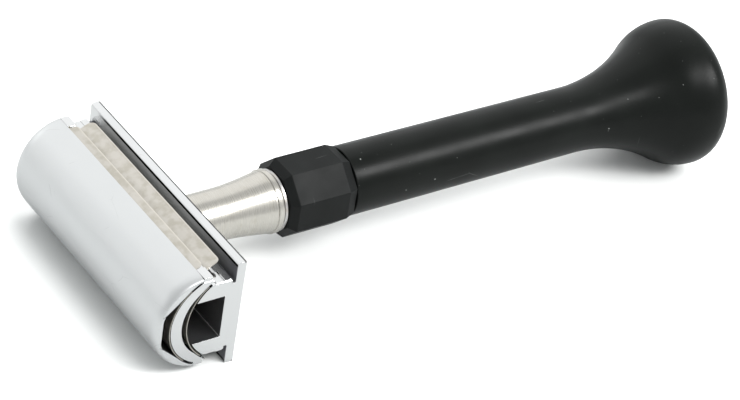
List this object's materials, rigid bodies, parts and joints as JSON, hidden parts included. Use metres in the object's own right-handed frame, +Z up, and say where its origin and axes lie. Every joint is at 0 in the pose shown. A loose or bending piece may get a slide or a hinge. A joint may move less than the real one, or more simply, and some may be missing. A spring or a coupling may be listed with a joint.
{
  "type": "safety razor",
  "caption": "Double-edge safety razor with two bent blades clamped between a half-round cap, a crescent spacer and an open guard, on a black handle with a flared butt.",
  "frame": {"origin": "centre of the part's box in x and y, on the surface it lies on (z = 0)", "axes": "+X towards the butt, +Y along the head, +Z up; the handle's own axis lies in the XZ plane and rises 1.724 degrees towards the butt, because the razor rests on the guard plate's lower edge and on the butt's rim"},
  "size_m": [0.115, 0.043, 0.0243],
  "materials": {
    "satin_chrome": "satin chrome with faint wiping marks",
    "polished_chrome": "bright polished chrome",
    "blade_steel": "matt stainless strip with ground edges",
    "turned_steel": "fine turned stainless",
    "plain_steel": "plain bright steel",
    "black_resin": "satin black hard rubber, dusty, with light scratches",
    "black_collar": "matt black moulded collar",
    "brass": "plain turned brass"
  },
  "bodies": {
    "guard": {"guard_body": "polished_chrome"},
    "handle": {"ferrule": "turned_steel", "neck_washer": "plain_steel", "collar": "black_collar", "grip": "black_resin", "tie_rod": "plain_steel", "rod_washer": "brass", "rod_nut": "brass", "butt_plug": "black_resin"},
    "cap": {"cap": "satin_chrome", "cap_stud": "plain_steel", "cap_pin_near": "plain_steel", "cap_pin_far": "plain_steel"},
    "upper_blade": {"upper_blade": "blade_steel"},
    "blade_spacer": {"blade_spacer": "polished_chrome"},
    "lower_blade": {"lower_blade": "blade_steel"}
  },
  "joints": [
    {"name": "cap_lift", "type": "slide", "parent": "guard", "child": "cap", "axis": [-0.9995, 0, -0.0301], "range_m": [0, 0.00632]},
    {"name": "handle_turn", "type": "hinge", "parent": "guard", "child": "handle", "pos_m": [-0.04347, 0, 0.00923], "axis": [0.9995, 0, 0.0301], "range_deg": [0, 2844.5]},
    {"name": "upper_blade_lift", "type": "slide", "parent": "guard", "child": "upper_blade", "axis": [-0.9995, 0, -0.0301], "range_m": [0, 0.00475]},
    {"name": "spacer_lift", "type": "slide", "parent": "guard", "child": "blade_spacer", "axis": [-0.9995, 0, -0.0301], "range_m": [0, 0.00317]},
    {"name": "lower_blade_lift", "type": "slide", "parent": "guard", "child": "lower_blade", "axis": [-0.9995, 0, -0.0301], "range_m": [0, 0.00159]}
  ],
  "couplings": [
    {"joint": "handle_turn", "follows": "cap_lift", "rad_per_m": 7854},
    {"joint": "upper_blade_lift", "follows": "cap_lift", "ratio": 0.75},
    {"joint": "spacer_lift", "follows": "cap_lift", "ratio": 0.5},
    {"joint": "lower_blade_lift", "follows": "cap_lift", "ratio": 0.25}
  ]
}
